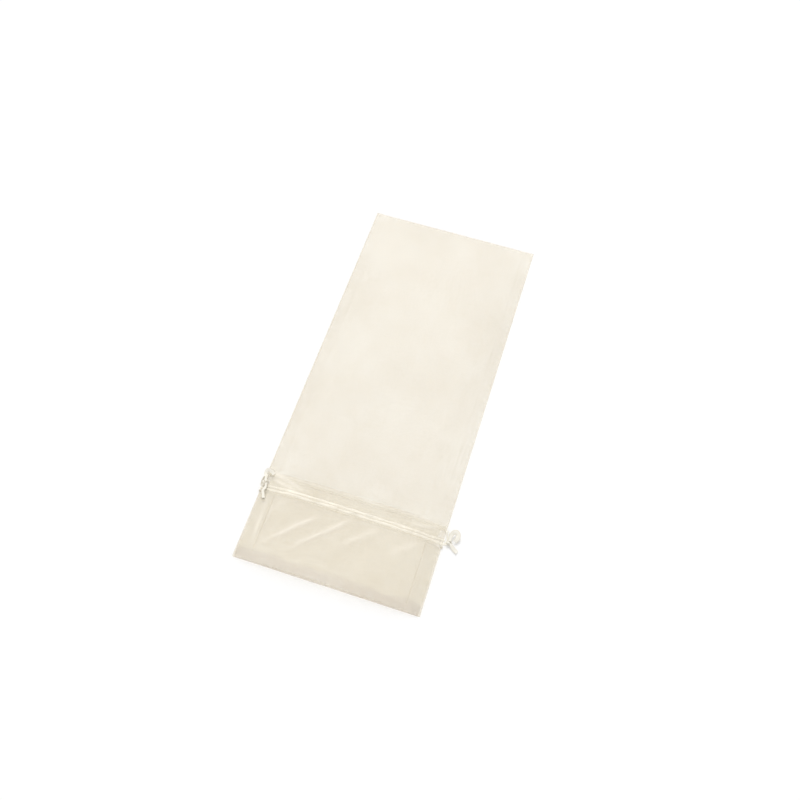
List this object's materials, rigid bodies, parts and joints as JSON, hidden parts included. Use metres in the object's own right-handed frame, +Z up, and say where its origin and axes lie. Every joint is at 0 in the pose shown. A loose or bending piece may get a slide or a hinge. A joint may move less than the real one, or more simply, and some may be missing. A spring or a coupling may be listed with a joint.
{
  "type": "drawstring gift pouch",
  "caption": "Flat sheer organza pouch with a doubled header, a stitched casing near the open mouth and a satin ribbon drawcord knotted at each side.",
  "frame": {"origin": "on the table, under the middle of the back cloth", "axes": "+X across the pouch, +Y from the open mouth to the closed end, +Z up from the table"},
  "size_m": [0.1765, 0.37, 0.0125],
  "materials": {
    "organza": "sheer ivory organza, plain weave with a faint sheen",
    "organza_facing": "sheer ivory organza, doubled layer",
    "thread": "fine ivory polyester sewing thread",
    "satin_ribbon": "narrow cream satin ribbon, glossy"
  },
  "bodies": {
    "root": {"back_panel": "organza", "front_panel": "organza", "bottom_fold": "organza", "back_facing": "organza_facing", "front_facing": "organza_facing", "back_mouth_fold": "organza_facing", "front_mouth_fold": "organza_facing", "left_body_seam": "organza", "right_body_seam": "organza", "left_header_seam": "organza", "right_header_seam": "organza", "left_seam_allowance": "organza_facing", "right_seam_allowance": "organza_facing", "left_seam_stitching": "thread", "right_seam_stitching": "thread", "front_casing_stitching": "thread", "back_casing_stitching": "thread"},
    "left_cord": {"left_drawcord": "satin_ribbon", "left_knot": "satin_ribbon", "left_tails": "satin_ribbon"},
    "right_cord": {"right_drawcord": "satin_ribbon", "right_knot": "satin_ribbon", "right_tails": "satin_ribbon"},
    "left_neck": {"left_bar_tacks": "thread"},
    "right_neck": {"right_bar_tacks": "thread"}
  },
  "joints": [
    {"name": "left_drawcord_pull", "type": "slide", "parent": "root", "child": "left_cord", "axis": [-1, 0, 0], "range_m": [0, 0.045], "deforming": ["back_panel", "front_panel", "back_facing", "front_facing", "back_mouth_fold", "front_mouth_fold", "left_body_seam", "right_body_seam", "left_header_seam", "right_header_seam", "left_seam_allowance", "right_seam_allowance", "left_seam_stitching", "right_seam_stitching", "front_casing_stitching", "back_casing_stitching"]},
    {"name": "right_drawcord_pull", "type": "slide", "parent": "root", "child": "right_cord", "axis": [1, 0, 0], "range_m": [0, 0.045]},
    {"name": "left_side_gather", "type": "slide", "parent": "root", "child": "left_neck", "axis": [1, 0, 0], "range_m": [0, 0.045]},
    {"name": "right_side_gather", "type": "slide", "parent": "root", "child": "right_neck", "axis": [-1, 0, 0], "range_m": [0, 0.045]}
  ],
  "couplings": [
    {"joint": "right_drawcord_pull", "follows": "left_drawcord_pull", "ratio": 1},
    {"joint": "left_side_gather", "follows": "left_drawcord_pull", "ratio": 1},
    {"joint": "right_side_gather", "follows": "left_drawcord_pull", "ratio": 1}
  ]
}
